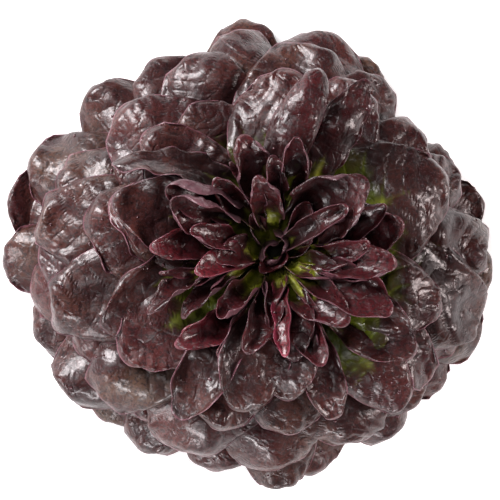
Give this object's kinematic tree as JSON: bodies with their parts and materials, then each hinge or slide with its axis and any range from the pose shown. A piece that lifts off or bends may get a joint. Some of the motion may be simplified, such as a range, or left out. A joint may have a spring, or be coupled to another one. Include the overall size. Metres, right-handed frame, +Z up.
{
  "type": "leaf lettuce",
  "caption": "Round head of red leaf lettuce: broad cupped leaves laid over one another around a crowded heart, standing on its flat cut stem.",
  "frame": {"origin": "centre of the stem's flat cut face", "axes": "+Z up along the stem; the leaves reach furthest towards -X"},
  "size_m": [0.275, 0.2617, 0.1082],
  "materials": {
    "outer_leaf": "satin leaf, dark burgundy, lilac sheen",
    "inner_leaf": "satin leaf, wine red",
    "stem": "pale green, matt"
  },
  "bodies": {
    "root": {"ground_leaf_01": "outer_leaf", "ground_leaf_02": "outer_leaf", "ground_leaf_03": "outer_leaf", "ground_leaf_04": "outer_leaf", "ground_leaf_05": "outer_leaf", "ground_leaf_06": "outer_leaf", "ground_leaf_07": "outer_leaf", "ground_leaf_08": "outer_leaf", "ground_leaf_09": "outer_leaf", "ground_leaf_10": "outer_leaf", "ground_leaf_11": "outer_leaf", "ground_leaf_12": "outer_leaf", "ground_leaf_13": "outer_leaf", "ground_leaf_14": "outer_leaf", "ground_leaf_15": "outer_leaf", "ground_leaf_16": "outer_leaf", "ground_leaf_17": "outer_leaf", "ground_leaf_18": "outer_leaf", "ground_leaf_19": "outer_leaf", "ground_leaf_20": "outer_leaf", "ground_leaf_21": "outer_leaf", "ground_leaf_22": "outer_leaf", "heart": "inner_leaf", "lower_leaf_01": "outer_leaf", "lower_leaf_02": "outer_leaf", "lower_leaf_03": "outer_leaf", "lower_leaf_04": "outer_leaf", "lower_leaf_05": "outer_leaf", "lower_leaf_06": "outer_leaf", "lower_leaf_07": "outer_leaf", "lower_leaf_08": "outer_leaf", "lower_leaf_09": "outer_leaf", "lower_leaf_10": "outer_leaf", "lower_leaf_11": "outer_leaf", "lower_leaf_12": "outer_leaf", "lower_leaf_13": "outer_leaf", "lower_leaf_14": "outer_leaf", "lower_leaf_15": "outer_leaf", "lower_leaf_16": "outer_leaf", "lower_leaf_17": "outer_leaf", "lower_leaf_18": "outer_leaf", "lower_leaf_19": "outer_leaf", "lower_leaf_20": "outer_leaf", "stem": "stem", "upper_leaf_01": "outer_leaf", "upper_leaf_02": "outer_leaf", "upper_leaf_03": "outer_leaf", "upper_leaf_04": "outer_leaf", "upper_leaf_05": "outer_leaf", "upper_leaf_06": "outer_leaf", "upper_leaf_07": "outer_leaf", "upper_leaf_08": "outer_leaf", "upper_leaf_09": "outer_leaf", "upper_leaf_10": "outer_leaf", "upper_leaf_11": "outer_leaf", "upper_leaf_12": "outer_leaf", "upper_leaf_13": "outer_leaf", "upper_leaf_14": "outer_leaf"}
  },
  "joints": []
}
